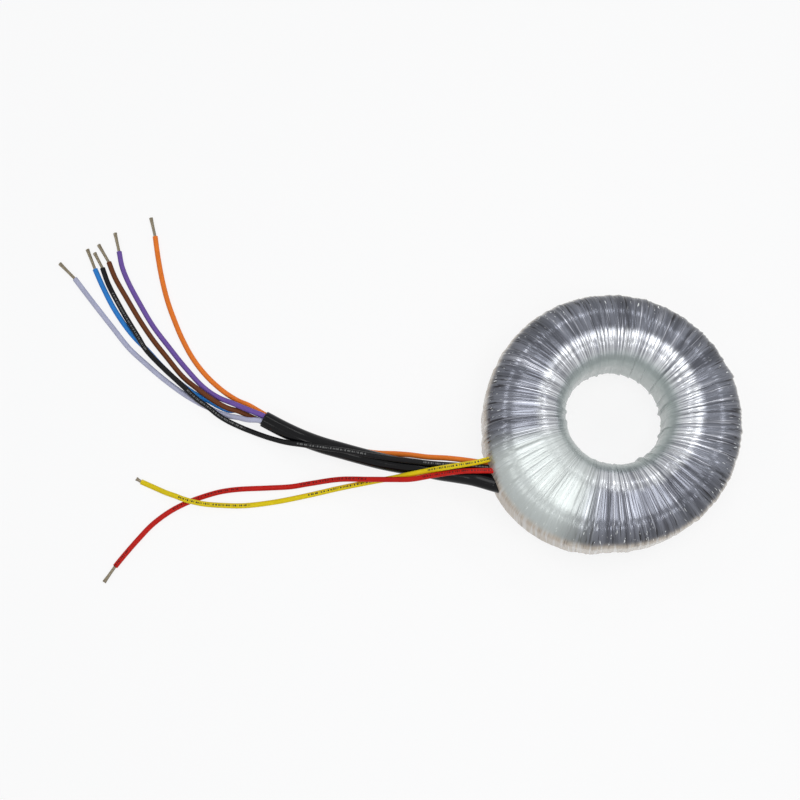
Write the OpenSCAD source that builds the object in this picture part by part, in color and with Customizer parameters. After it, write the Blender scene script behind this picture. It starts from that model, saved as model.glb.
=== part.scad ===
// Toroidal mains transformer with eight flying leads, lying flat on a table.
// The origin is the middle of the underside. The leads run out towards -X.
// The coil is built up from the steel core outwards, each layer on the one below.

/* [Core] */
// Inside diameter of the tape-wound steel core
core_inner_d = 60; // [58:1:62]
// Outside diameter of the steel core
core_outer_d = 86; // [80:1:92]
// Height of the steel core
core_h = 20; // [16:1:24]
// Wall of the two insulating caps over the core
cap_t = 1; // [0.6:0.1:1.6]

/* [Windings] */
// Build of both primary windings on the hole side
primary_inner = 6.2; // [5.6:0.1:6.6]
// Build of both primary windings on the outer side
primary_outer = 2.2; // [2:0.1:3.4]
// Build of both primary windings on the top and bottom faces
primary_face = 3.6; // [3:0.1:4.6]
// How far the uneven pile of the primary windings moves the hole off the middle
hole_shift = 2.6; // [0:0.1:3]
// Thickness of the insulation between primary and secondary
insulation_t = 0.6; // [0.4:0.1:1]
// Thickness of the secondary magnet wire with its enamel
wire_d = 1.25; // [0.8:0.05:1.3]
// Turns in the outermost layer of each secondary winding
secondary_turns = 40; // [20:1:41]
// Clearance between one layer and the next
layer_gap = 0.1; // [0.05:0.05:0.2]
// Clearance under and over the turns of the outermost layer
turn_gap = 0.2; // [0.2:0.05:0.3]

/* [Film wrap] */
// Thickness of the wound film where it lies flat
film_t = 0.6; // [0.5:0.1:0.9]
// Turns that the film strip makes through the hole
film_turns = 30; // [24:1:36]
// Height of the strip's gathered folds
pleat_h = 0.6; // [0.3:0.1:1]
// How far the lead joints push the film out at the side
bulge_h = 3.2; // [3:0.1:5]

/* [Joints and leads] */
// Thickness of the pad that the lead joints lie on
pad_t = 1.1; // [0.9:0.1:1.2]
// Diameter of a sleeved lead joint
joint_d = 1.3; // [1:0.1:1.4]
// Outside diameter of a lead's insulation
lead_d = 2.1; // [1.6:0.1:2.1]
// Diameter of a lead's tinned end
end_d = 1.2; // [0.8:0.1:1.5]
// Outside diameter of the sleeve round the four primary leads
sleeve_d = 6.5; // [6.4:0.1:6.6]
// Wall of that sleeve
sleeve_wall = 0.35; // [0.2:0.05:0.4]

/* [Hidden] */
$fn = 96;

// A layer is [hole radius, outer radius, half height, hole corner, outer corner,
// shift of the hole off the middle].
function grow(layer, inner, outer, face, corner_in, corner_out, shift = 0) = [
    layer[0] - inner, layer[1] + outer, layer[2] + face,
    layer[3] + corner_in, layer[4] + corner_out, layer[5] + shift
];
function wrap(layer, t) = grow(layer, t, t, t, t, t);

core_corner = 0.5;
core_layer = [core_inner_d / 2, core_outer_d / 2, core_h / 2, core_corner, core_corner, 0];
cap_inside = wrap(core_layer, layer_gap);
cap_outside = wrap(cap_inside, cap_t);
primary_inside = wrap(cap_outside, layer_gap);
// The wire bows over the core's corners, so its build has much rounder ones.
primary_round_in = 10;
primary_round_out = 7;
primary_outside = grow(primary_inside, primary_inner, primary_outer, primary_face,
                       primary_round_in, primary_round_out, hole_shift);
primary_middle = grow(primary_inside, primary_inner / 2, primary_outer / 2, primary_face / 2,
                      primary_round_in / 2, primary_round_out / 2, hole_shift / 2);
insulation_inside = wrap(primary_outside, layer_gap);
insulation_outside = wrap(insulation_inside, insulation_t);
secondary_inside = wrap(insulation_outside, turn_gap);
secondary_outside = wrap(secondary_inside, wire_d);
film_inside = wrap(secondary_outside, turn_gap);
film_valley = wrap(film_inside, film_t);
film_crest = wrap(film_valley, pleat_h);

outer_r = film_crest[1];
mid_z = film_crest[2];

// The windings are thickest on the side of the joints, so the hole lies off to the other.
shift_angle = 55;

// Distance from the coil's axis, at angle a, to a circle of radius r round the hole's axis
function hole_reach(r, shift, a) =
    shift * cos(a - shift_angle) + sqrt(r * r - pow(shift * sin(a - shift_angle), 2));

// The joints and the way out of the leads lie on the coil's left front side.
bulge_from = 186;
bulge_to = 268;
exit_angle = 206;
exit_normal = [cos(exit_angle), sin(exit_angle), 0];
// The winding ends come out through a slot in each inner layer, behind the joints.
slot_angle = 225;
slot_w = 6;
slot_h = 4;
pad_h = 16;
pad_r = secondary_outside[1] + turn_gap;
pad_z = mid_z;

// ---------------------------------------------------------------- coil

// Half section of a layer from the axis to its outer side, with true arcs at its corners
module outer_half(layer) {
    ro = layer[1];
    hh = layer[2];
    co = layer[4];
    polygon([[0, -hh], [ro - co, -hh], [ro, co - hh], [ro, hh - co], [ro - co, hh], [0, hh]]);
    for (side = [-1, 1]) translate([ro - co, side * (hh - co)]) circle(r = co);
}

// Half section of a layer from its hole to well past its outer side
module hole_half(layer) {
    ri = layer[0];
    hh = layer[2];
    ci = layer[3];
    past = 2 * layer[1];
    polygon([[ri + ci, -hh], [past, -hh], [past, hh], [ri + ci, hh], [ri, hh - ci], [ri, ci - hh]]);
    for (side = [-1, 1]) translate([ri + ci, side * (hh - ci)]) circle(r = ci);
}

module section(layer) {
    intersection() {
        outer_half(layer);
        hole_half(layer);
    }
}

// A whole layer: its outer side is round the coil's axis and its hole round its own.
module ring(layer) {
    intersection() {
        rotate_extrude() outer_half(layer);
        rotate(shift_angle) translate([layer[5], 0, 0]) rotate_extrude() hole_half(layer);
    }
}

// Hollow ring between two layers, with the slot for the winding ends
module shell(inside, outside) {
    difference() {
        translate([0, 0, mid_z]) difference() {
            ring(outside);
            ring(inside);
        }
        rotate(slot_angle) translate([inside[1] - inside[4], -slot_w / 2, mid_z - slot_h / 2])
            cube([outside[4] + outside[1] - inside[1] + 1, slot_w, slot_h]);
    }
}

// The strip steel is wound into a ring, and its last turn ends in a welded tail.
module steel_core() {
    tail_t = 0.05;
    tail_angle = 35;
    color("dimgray") translate([0, 0, mid_z]) {
        rotate_extrude() section(core_layer);
        rotate_extrude(angle = tail_angle)
            translate([core_outer_d / 2 - core_corner, core_corner - core_h / 2])
                square([core_corner + tail_t, core_h - 2 * core_corner]);
    }
}

// One of the two moulded caps. They meet at the middle of the core's height.
module core_cap(side) {
    color("ivory") translate([0, 0, mid_z]) rotate_extrude() intersection() {
        difference() {
            section(cap_outside);
            section(cap_inside);
        }
        translate([0, side > 0 ? layer_gap / 2 : -cap_outside[2] - 1])
            square([cap_outside[1] + 1, cap_outside[2] + 1 - layer_gap / 2]);
    }
}

module primary_winding(inside, outside) {
    color("peru") shell(inside, outside);
}

module winding_insulation() {
    color("lightyellow") shell(insulation_inside, insulation_outside);
}

// Section of a layer at angle a, with its hole's wall where it is on that side
function at_angle(layer, a) = [
    hole_reach(layer[0], layer[5], a), layer[1], layer[2], layer[3], layer[4], 0
];

// Every second turn of the outermost layer belongs to the same secondary.
module secondary_winding(first) {
    pitch = 360 / (2 * secondary_turns);
    color("chocolate") translate([0, 0, mid_z])
        for (i = [0 : secondary_turns - 1]) {
            a = (2 * i + first) * pitch;
            rotate(a) rotate([90, 0, 0])
                linear_extrude(height = wire_d, center = true) difference() {
                    section(at_angle(secondary_outside, a));
                    section(at_angle(secondary_inside, a));
                }
        }
}

// Soft pad on the windings' outer side, under the joints
module joint_pad() {
    pad_from = 194;
    pad_to = 252;
    color("wheat") rotate([0, 0, pad_from]) rotate_extrude(angle = pad_to - pad_from)
        translate([pad_r, pad_z - pad_h / 2]) {
            translate([0, pad_t / 2]) square([pad_t, pad_h - pad_t]);
            for (z = [pad_t / 2, pad_h - pad_t / 2])
                translate([pad_t / 2, z]) circle(d = pad_t);
        }
}

// Soldered joints between winding ends and leads, each in its own small sleeve
module lead_joints() {
    joints = 8;
    joint_from = 220;
    joint_angle = 20;
    pitch = (pad_h - pad_t) / joints;
    color("khaki") for (i = [0 : joints - 1])
        rotate([0, 0, joint_from + (i % 2) * 2]) rotate_extrude(angle = joint_angle)
            translate([pad_r + pad_t + layer_gap + joint_d / 2,
                       pad_z + (i - (joints - 1) / 2) * pitch])
                circle(d = joint_d, $fn = 24);
}

// ---------------------------------------------------------------- film wrap

// The film is one strip, wound through the hole over its own edge. A lengthwise line
// of the strip goes once round the section while it moves on by one turn's pitch.
fold = [1, 0.3, 0.75, 0];
columns = film_turns * len(fold);
corner_steps = 4;

// One corner of a layer's section, as [radius, height, outward radius, outward height,
// shift of the axis that the radius is round].
// Rows that stand off their arc by spread keep the flat facets between them clear of it.
function corner(layer, outer, side, k, spread) =
    let (c = outer ? layer[4] : layer[3],
         a = 90 * k / corner_steps,
         x = outer ? layer[1] - c : layer[0] + c,
         ux = (outer ? 1 : -1) * sin(a),
         uz = side * cos(a))
    [x + spread * c * ux, side * (layer[2] - c) + spread * c * uz, ux, uz,
     outer ? 0 : layer[5]];

// The section's rows, from the middle of the underside outwards and round to it again
function rows(layer, spread) = concat(
    [for (k = [0 : corner_steps]) corner(layer, true, -1, k, spread)],
    [[layer[1] + (spread - 1) * layer[4], 0, 1, 0, 0]],
    [for (k = [corner_steps : -1 : 0]) corner(layer, true, 1, k, spread)],
    [for (k = [0 : corner_steps]) corner(layer, false, 1, k, spread)],
    [for (k = [corner_steps : -1 : 0]) corner(layer, false, -1, k, spread)]
);
row_count = 4 * (corner_steps + 1) + 1;

// Radial push of the joints: nothing at the top and the underside, full at the side
function bulge(a, up) =
    let (t = (a - bulge_from) / (bulge_to - bulge_from))
    t <= 0 || t >= 1 ? 0 : bulge_h * pow(sin(180 * t), 0.8) * sqrt(1 - up * up);

// Uneven folds: some turns of the strip lie tighter than others
function slack(i) = 0.75 + 0.25 * sin(i * 137);

function film_angle(i, j) = 360 * (i / columns + j / (row_count * film_turns));
function wrapped(a) = a - 360 * floor(a / 360);

function film_point(row, i, j, height) =
    let (a = film_angle(i, j),
         push = row[2] > 0 ? bulge(wrapped(a), row[3]) : 0,
         r = hole_reach(row[0] + height * row[2], row[4], a) + push)
    [r * cos(a), r * sin(a), mid_z + row[1] + height * row[3]];

// Folds are deepest at the hole, where the strip is gathered, and flat underneath.
function fold_height(row, i) =
    row[3] < -0.99 ? pleat_h
    : pleat_h * slack(floor(i / len(fold))) * fold[i % len(fold)];

// The way out of the leads, in columns and rows of the film
window_columns = [64, 71];
window_rows = [5, 8];
function in_window(i, j) =
    i >= window_columns[0] && i < window_columns[1]
    && j >= window_rows[0] && j < window_rows[1];

module film_wrap() {
    outer_rows = rows(film_valley, 1);
    inner_rows = rows(film_inside, 1 / cos(45 / corner_steps));
    points = concat(
        [for (j = [0 : row_count - 1]) for (i = [0 : columns - 1])
            film_point(outer_rows[j], i, j, fold_height(outer_rows[j], i))],
        [for (j = [0 : row_count - 1]) for (i = [0 : columns - 1])
            film_point(inner_rows[j], i, j, 0)]
    );
    // After the last row, a line of the strip goes on one turn further.
    function outer_id(i, j) =
        j < row_count ? j * columns + i % columns : (i + len(fold)) % columns;
    function inner_id(i, j) = row_count * columns + outer_id(i, j);
    function quad(a, b, c, d) = [[a, b, c], [a, c, d]];
    outer_faces = [for (j = [0 : row_count - 1]) for (i = [0 : columns - 1])
        if (!in_window(i, j))
            each quad(outer_id(i, j), outer_id(i, j + 1),
                      outer_id(i + 1, j + 1), outer_id(i + 1, j))];
    inner_faces = [for (j = [0 : row_count - 1]) for (i = [0 : columns - 1])
        if (!in_window(i, j))
            each quad(inner_id(i, j), inner_id(i + 1, j),
                      inner_id(i + 1, j + 1), inner_id(i, j + 1))];
    window_sides = [for (j = [window_rows[0] : window_rows[1] - 1]) each concat(
        quad(outer_id(window_columns[0], j), outer_id(window_columns[0], j + 1),
             inner_id(window_columns[0], j + 1), inner_id(window_columns[0], j)),
        quad(outer_id(window_columns[1], j), inner_id(window_columns[1], j),
             inner_id(window_columns[1], j + 1), outer_id(window_columns[1], j + 1)))];
    window_ends = [for (i = [window_columns[0] : window_columns[1] - 1]) each concat(
        quad(outer_id(i, window_rows[0]), inner_id(i, window_rows[0]),
             inner_id(i + 1, window_rows[0]), outer_id(i + 1, window_rows[0])),
        quad(outer_id(i, window_rows[1]), outer_id(i + 1, window_rows[1]),
             inner_id(i + 1, window_rows[1]), inner_id(i, window_rows[1])))];
    color("silver")
        polyhedron(points, concat(outer_faces, inner_faces, window_sides, window_ends));
}

// ---------------------------------------------------------------- leads

// Routes of the leads: x from the coil's left side, y as the coil, z from the table.
// They start at the way out of the film and end where the insulation is stripped.
sleeve_route = [
    [4, -24, 23.5], [-3, -22, 23.5], [-9.5, -20.5, 21.5], [-16.5, -19, 19],
    [-23.5, -17, 16.5], [-30.5, -15.5, 13.5], [-38.5, -13.5, 11], [-46.5, -11, 8.5],
    [-54.5, -8.5, 7], [-62.5, -6, 6], [-70, -3, 5], [-77.5, 0.5, 5], [-85, 4.5, 5]
];
violet_free = [
    [-91.5, 8.2, 5.5], [-95.5, 10, 4.9], [-99.5, 11.8, 3.7], [-103.5, 13.7, 2.4],
    [-107.5, 16.3, 1.3], [-112, 20.2, 1.1], [-118.5, 27.5, 1.1], [-124.5, 35, 1.1],
    [-131, 43.5, 1.1], [-136.5, 52.5, 1.1], [-141.5, 61.5, 1.1], [-144.5, 68.5, 1.1],
    [-146, 75, 1.1]
];
violet_tip = [-148, 83, 1.1];
brown_free = [
    [-91.5, 6.2, 3.2], [-95.5, 8, 3.5], [-99.5, 9.2, 3.2], [-103.5, 11.2, 3.2],
    [-107.5, 13.8, 3.1], [-112, 17.2, 2.3], [-118.5, 22.7, 1.1], [-125, 30.5, 1.1],
    [-131, 38, 1.1], [-136.5, 46, 1.1], [-142, 55, 1.1], [-147, 63.5, 1.1],
    [-150, 70.5, 1.1]
];
brown_tip = [-154.5, 78, 1.1];
blue_free = [
    [-91.5, 8.6, 2.3], [-95.5, 9, 1.4], [-99.5, 8.8, 1.1], [-103.5, 10.4, 1.1],
    [-107.5, 12.6, 1.1], [-112, 14.8, 1.1], [-118.5, 19.2, 1.1], [-126.5, 26.5, 1.1],
    [-133, 33.5, 1.1], [-138, 38.5, 1.1], [-142.5, 44, 1.1], [-147.5, 51.5, 1.1],
    [-152, 60, 1.1], [-155.5, 67.5, 1.1]
];
blue_tip = [-159, 76, 1.1];
grey_free = [
    [-91.5, 4.2, 5], [-95.5, 5.4, 3.4], [-99.5, 6.4, 1.9], [-103.5, 7.8, 1.1],
    [-107.5, 9.8, 1.1], [-112, 12, 1.1], [-118.5, 16, 1.1], [-126.5, 22, 1.1],
    [-133.5, 28, 1.1], [-140.5, 34.5, 1.1], [-147, 42.5, 1.1], [-153, 50, 1.1],
    [-158.5, 57, 1.1], [-163.5, 63.5, 1.1]
];
grey_tip = [-170, 70, 1.1];
orange_route = [
    [3.5, -16.5, 24], [-1.5, -16, 24], [-7.5, -15, 23], [-13.5, -14, 21], [-20.5, -13, 17.5],
    [-27.5, -11.5, 14], [-33.5, -10.5, 11], [-40.5, -9.5, 7], [-47.5, -8, 4.5],
    [-55.5, -6, 2], [-63.5, -3.5, 1.1], [-71.5, 0, 1.1], [-79.5, 4, 1.1], [-85.5, 7.3, 1.1],
    [-91.5, 10.8, 1.1], [-96.5, 13, 1.1], [-102.5, 17, 1.1], [-109, 23, 1.1],
    [-114.5, 30, 1.1], [-119, 38, 1.1], [-122.5, 46, 1.1], [-125.5, 54, 1.1],
    [-128, 63, 1.1], [-130, 72.5, 1.1], [-131.5, 81.5, 1.1]
];
orange_tip = [-133.5, 89.5, 1.1];
black_route = [
    [2.5, -18.5, 25.5], [-3.5, -18, 26], [-10.5, -17.5, 25.5], [-18.5, -16.5, 23],
    [-26.5, -15, 20], [-34.5, -13.5, 17], [-43.5, -11.5, 14], [-52.5, -9.5, 12],
    [-61.5, -8, 10.5], [-69.5, -6.5, 8.5], [-76.5, -5, 6], [-84, -2.5, 3.5],
    [-91.5, 0.5, 2], [-95.5, 2.2, 2], [-99.5, 4, 2.8], [-103.5, 6.4, 3.2],
    [-107.5, 9.6, 3.3], [-112, 12.8, 3.3], [-118.5, 18.8, 3.3], [-126.5, 26.2, 3.3],
    [-133, 33, 3.3], [-136.5, 38.5, 3.1], [-140, 44, 2.5], [-144, 50.5, 1.3],
    [-149.5, 60.5, 1.1], [-152.5, 68, 1.1]
];
black_tip = [-156, 74.5, 1.1];
yellow_route = [
    [3, -15.5, 27.5], [-3, -17, 28], [-12, -18.5, 28], [-19.5, -19, 23],
    [-27, -19.8, 18.5], [-34, -20.5, 13.5], [-43, -21.5, 9.5], [-55, -23.2, 5],
    [-67, -25.5, 2], [-80, -28, 1.1], [-92, -29.5, 1.1], [-101.5, -29.5, 1.8],
    [-109, -29, 3], [-115.5, -27.5, 3.4], [-119.5, -26, 3.2], [-123.5, -24.5, 2.3],
    [-129, -22, 1.1], [-133.5, -20, 1.1]
];
yellow_tip = [-135.3, -18.9, 1.5];
red_route = [
    [2, -20, 27.5], [-6.5, -20, 27], [-13.5, -20.6, 25.5], [-19.5, -21.2, 23],
    [-27, -21.9, 19.3], [-34, -21.5, 16], [-43, -20.8, 12], [-55, -20, 7],
    [-67, -21, 2.5], [-74.5, -22, 1.1], [-83.5, -22.5, 1.1], [-94.5, -23, 1.1],
    [-102, -24, 1.1], [-109, -26, 1.1], [-115.5, -28.5, 1.1], [-122, -32, 1.1],
    [-128.5, -37, 1.1], [-134, -43, 1.1], [-139, -49, 1.1], [-142.5, -53.5, 1.1]
];
red_tip = [-146.5, -59.5, 1.1];

function unit(v) = v / norm(v);

// Direction of a route at point i, and the level direction to its front
function along(route, i) =
    unit(route[min(i + 1, len(route) - 1)] - route[max(i - 1, 0)]);
function across(route, i) = unit(cross(along(route, i), [0, 0, -1]));

// The four primary leads lie two by two in the sleeve. Their bundle rests a little
// forward of the sleeve's middle line and below it.
half_pitch = lead_d / 2 + 0.02;
bundle_back = -0.15;
bundle_up = -0.1;
function in_sleeve(back, up) = [for (i = [0 : len(sleeve_route) - 1])
    let (t = along(sleeve_route, i), b = across(sleeve_route, i))
    sleeve_route[i] - b * (back * half_pitch + bundle_back)
        + cross(t, b) * (up * half_pitch + bundle_up)];
violet_route = concat(in_sleeve(1, 1), violet_free);
grey_route = concat(in_sleeve(-1, 1), grey_free);
blue_route = concat(in_sleeve(1, -1), blue_free);
brown_route = concat(in_sleeve(-1, -1), brown_free);

// Points of a tube's rings. The first ring lies flat against the joint pad.
function tube_ring(route, i, r, sides) =
    let (t = along(route, i), b = across(route, i), u = cross(t, b),
         seat = pad_r + pad_t + 3 * layer_gap,
         origin = route[i] - [outer_r, 0, 0])
    [for (s = [0 : sides - 1])
        let (a = 360 * (s + 0.5) / sides, p = origin + r * (cos(a) * b + sin(a) * u))
        i > 0 ? p : p + t * ((seat - p * exit_normal) / (t * exit_normal))];

function tube_points(route, r, sides) =
    [for (i = [0 : len(route) - 1]) each tube_ring(route, i, r, sides)];

// Side faces of a tube whose points start at index first; flip turns them inwards.
function tube_sides(rings, sides, first, flip) =
    [for (i = [0 : rings - 2]) for (s = [0 : sides - 1])
        let (a = first + i * sides + s,
             b = first + i * sides + (s + 1) % sides,
             c = b + sides,
             d = a + sides)
        each flip ? [[a, b, c], [a, c, d]] : [[a, c, b], [a, d, c]]];

module lead(route) {
    sides = 8;
    n = len(route);
    polyhedron(
        tube_points(route, lead_d / 2, sides),
        concat(
            tube_sides(n, sides, 0, false),
            [[for (s = [0 : sides - 1]) s]],
            [[for (s = [sides - 1 : -1 : 0]) (n - 1) * sides + s]]
        )
    );
}

module primary_sleeve() {
    sides = 12;
    n = len(sleeve_route);
    inner = n * sides;
    function rim(first, flip) = [for (s = [0 : sides - 1])
        let (a = first + s, b = first + (s + 1) % sides)
        each flip ? [[a, b, b + inner], [a, b + inner, a + inner]]
                  : [[a, b + inner, b], [a, a + inner, b + inner]]];
    color([0.1, 0.1, 0.11]) polyhedron(
        concat(tube_points(sleeve_route, sleeve_d / 2, sides),
               tube_points(sleeve_route, sleeve_d / 2 - sleeve_wall, sides)),
        concat(tube_sides(n, sides, 0, false), tube_sides(n, sides, inner, true),
               rim(0, true), rim((n - 1) * sides, false))
    );
}

// Tinned strands, from the cut insulation to their tip
end_gap = 0.15;
module lead_end(route, tip) {
    run = unit(tip - route[len(route) - 1]);
    from = route[len(route) - 1] + end_gap * run;
    color("lightgray") translate(from - [outer_r, 0, 0])
        rotate([0, acos(run[2]), atan2(run[1], run[0])])
            cylinder(h = norm(tip - from), d = end_d, $fn = 24);
}

steel_core();
core_cap(1);  // upper_core_cap
core_cap(-1);  // lower_core_cap
primary_winding(primary_inside, primary_middle);  // primary_winding_1
primary_winding(wrap(primary_middle, layer_gap), primary_outside);  // primary_winding_2
winding_insulation();
secondary_winding(0);  // secondary_winding_1
secondary_winding(1);  // secondary_winding_2
joint_pad();
lead_joints();
film_wrap();
primary_sleeve();
color("mediumpurple") lead(violet_route);  // violet_lead
color("saddlebrown") lead(brown_route);  // brown_lead
color("dodgerblue") lead(blue_route);  // blue_lead
color("lightsteelblue") lead(grey_route);  // grey_lead
color("darkorange") lead(orange_route);  // orange_lead
color("gold") lead(yellow_route);  // yellow_lead
color([0.12, 0.12, 0.12]) lead(black_route);  // black_lead
color("crimson") lead(red_route);  // red_lead
lead_end(violet_route, violet_tip);  // violet_lead_end
lead_end(brown_route, brown_tip);  // brown_lead_end
lead_end(blue_route, blue_tip);  // blue_lead_end
lead_end(grey_route, grey_tip);  // grey_lead_end
lead_end(orange_route, orange_tip);  // orange_lead_end
lead_end(yellow_route, yellow_tip);  // yellow_lead_end
lead_end(black_route, black_tip);  // black_lead_end
lead_end(red_route, red_tip);  // red_lead_end
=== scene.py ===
import math

import bpy
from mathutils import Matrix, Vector


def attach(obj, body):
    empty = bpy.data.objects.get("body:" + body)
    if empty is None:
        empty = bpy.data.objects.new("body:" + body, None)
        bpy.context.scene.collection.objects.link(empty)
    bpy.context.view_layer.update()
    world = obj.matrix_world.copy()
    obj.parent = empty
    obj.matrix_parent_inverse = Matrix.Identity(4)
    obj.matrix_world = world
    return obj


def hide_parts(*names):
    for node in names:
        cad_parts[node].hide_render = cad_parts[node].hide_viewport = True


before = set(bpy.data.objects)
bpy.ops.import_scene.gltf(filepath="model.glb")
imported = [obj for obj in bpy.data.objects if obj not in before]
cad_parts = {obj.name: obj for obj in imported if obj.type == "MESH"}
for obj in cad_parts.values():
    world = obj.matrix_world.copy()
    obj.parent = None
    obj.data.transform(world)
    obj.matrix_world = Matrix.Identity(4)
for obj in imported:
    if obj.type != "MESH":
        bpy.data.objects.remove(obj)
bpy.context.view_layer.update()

# The camera is held over the table, at arm's length, and leans a little from the front.
look_at = Vector((-0.0812, 0.0133, 0))
camera_lean = math.radians(12.2)
camera_distance = 0.6
camera = bpy.data.objects.new("camera", bpy.data.cameras.new("camera"))
camera.data.lens = 67.4
camera.data.sensor_width = 36
camera.rotation_euler = (camera_lean, 0, 0)
camera.location = look_at + camera_distance * Vector(
    (0, -math.sin(camera_lean), math.cos(camera_lean)))
bpy.context.scene.collection.objects.link(camera)
bpy.context.scene.camera = camera

# ---------------------------------------------------------------- sleeve and leads
# The leads are stranded wire in 2.1 mm PVC insulation. Four of them, the primary's, leave
# through a glossy black sleeve. Routes are in metres, with x from the coil's left side,
# from the way out of the film to where the insulation is stripped.
coil_left = -0.04995
lead_d = 0.0021
sleeve_route = [
    (0.004, -0.024, 0.0235), (-0.003, -0.022, 0.0235), (-0.0095, -0.0205, 0.0215),
    (-0.0165, -0.019, 0.019), (-0.0235, -0.017, 0.0165), (-0.0305, -0.0155, 0.0135),
    (-0.0385, -0.0135, 0.011), (-0.0465, -0.011, 0.0085), (-0.0545, -0.0085, 0.007),
    (-0.0625, -0.006, 0.006), (-0.07, -0.003, 0.005), (-0.0775, 0.0005, 0.005),
    (-0.085, 0.0045, 0.005),
]
violet_free = [
    (-0.0915, 0.0082, 0.0055), (-0.0955, 0.01, 0.0049), (-0.0995, 0.0118, 0.0037),
    (-0.1035, 0.0137, 0.0024), (-0.1075, 0.0163, 0.0013), (-0.112, 0.0202, 0.0011),
    (-0.1185, 0.0275, 0.0011), (-0.1245, 0.035, 0.0011), (-0.131, 0.0435, 0.0011),
    (-0.1365, 0.0525, 0.0011), (-0.1415, 0.0615, 0.0011), (-0.1445, 0.0685, 0.0011),
    (-0.146, 0.075, 0.0011),
]
brown_free = [
    (-0.0915, 0.0062, 0.0032), (-0.0955, 0.008, 0.0035), (-0.0995, 0.0092, 0.0032),
    (-0.1035, 0.0112, 0.0032), (-0.1075, 0.0138, 0.0031), (-0.112, 0.0172, 0.0023),
    (-0.1185, 0.0227, 0.0011), (-0.125, 0.0305, 0.0011), (-0.131, 0.038, 0.0011),
    (-0.1365, 0.046, 0.0011), (-0.142, 0.055, 0.0011), (-0.147, 0.0635, 0.0011),
    (-0.15, 0.0705, 0.0011),
]
blue_free = [
    (-0.0915, 0.0086, 0.0023), (-0.0955, 0.009, 0.0014), (-0.0995, 0.0088, 0.0011),
    (-0.1035, 0.0104, 0.0011), (-0.1075, 0.0126, 0.0011), (-0.112, 0.0148, 0.0011),
    (-0.1185, 0.0192, 0.0011), (-0.1265, 0.0265, 0.0011), (-0.133, 0.0335, 0.0011),
    (-0.138, 0.0385, 0.0011), (-0.1425, 0.044, 0.0011), (-0.1475, 0.0515, 0.0011),
    (-0.152, 0.06, 0.0011), (-0.1555, 0.0675, 0.0011),
]
grey_free = [
    (-0.0915, 0.0042, 0.005), (-0.0955, 0.0054, 0.0034), (-0.0995, 0.0064, 0.0019),
    (-0.1035, 0.0078, 0.0011), (-0.1075, 0.0098, 0.0011), (-0.112, 0.012, 0.0011),
    (-0.1185, 0.016, 0.0011), (-0.1265, 0.022, 0.0011), (-0.1335, 0.028, 0.0011),
    (-0.1405, 0.0345, 0.0011), (-0.147, 0.0425, 0.0011), (-0.153, 0.05, 0.0011),
    (-0.1585, 0.057, 0.0011), (-0.1635, 0.0635, 0.0011),
]
orange_route = [
    (0.0035, -0.0165, 0.024), (-0.0015, -0.016, 0.024), (-0.0075, -0.015, 0.023),
    (-0.0135, -0.014, 0.021), (-0.0205, -0.013, 0.0175), (-0.0275, -0.0115, 0.014),
    (-0.0335, -0.0105, 0.011), (-0.0405, -0.0095, 0.007), (-0.0475, -0.008, 0.0045),
    (-0.0555, -0.006, 0.002), (-0.0635, -0.0035, 0.0011), (-0.0715, 0, 0.0011),
    (-0.0795, 0.004, 0.0011), (-0.0855, 0.0073, 0.0011), (-0.0915, 0.0108, 0.0011),
    (-0.0965, 0.013, 0.0011), (-0.1025, 0.017, 0.0011), (-0.109, 0.023, 0.0011),
    (-0.1145, 0.03, 0.0011), (-0.119, 0.038, 0.0011), (-0.1225, 0.046, 0.0011),
    (-0.1255, 0.054, 0.0011), (-0.128, 0.063, 0.0011), (-0.13, 0.0725, 0.0011),
    (-0.1315, 0.0815, 0.0011),
]
black_route = [
    (0.0025, -0.0185, 0.0255), (-0.0035, -0.018, 0.026), (-0.0105, -0.0175, 0.0255),
    (-0.0185, -0.0165, 0.023), (-0.0265, -0.015, 0.02), (-0.0345, -0.0135, 0.017),
    (-0.0435, -0.0115, 0.014), (-0.0525, -0.0095, 0.012), (-0.0615, -0.008, 0.0105),
    (-0.0695, -0.0065, 0.0085), (-0.0765, -0.005, 0.006), (-0.084, -0.0025, 0.0035),
    (-0.0915, 0.0005, 0.002), (-0.0955, 0.0022, 0.002), (-0.0995, 0.004, 0.0028),
    (-0.1035, 0.0064, 0.0032), (-0.1075, 0.0096, 0.0033), (-0.112, 0.0128, 0.0033),
    (-0.1185, 0.0188, 0.0033), (-0.1265, 0.0262, 0.0033), (-0.133, 0.033, 0.0033),
    (-0.1365, 0.0385, 0.0031), (-0.14, 0.044, 0.0025), (-0.144, 0.0505, 0.0013),
    (-0.1495, 0.0605, 0.0011), (-0.1525, 0.068, 0.0011),
]
yellow_route = [
    (0.003, -0.0155, 0.0275), (-0.003, -0.017, 0.028), (-0.012, -0.0185, 0.028),
    (-0.0195, -0.019, 0.023), (-0.027, -0.0198, 0.0185), (-0.034, -0.0205, 0.0135),
    (-0.043, -0.0215, 0.0095), (-0.055, -0.0232, 0.005), (-0.067, -0.0255, 0.002),
    (-0.08, -0.028, 0.0011), (-0.092, -0.0295, 0.0011), (-0.1015, -0.0295, 0.0018),
    (-0.109, -0.029, 0.003), (-0.1155, -0.0275, 0.0034), (-0.1195, -0.026, 0.0032),
    (-0.1235, -0.0245, 0.0023), (-0.129, -0.022, 0.0011), (-0.1335, -0.02, 0.0011),
]
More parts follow.
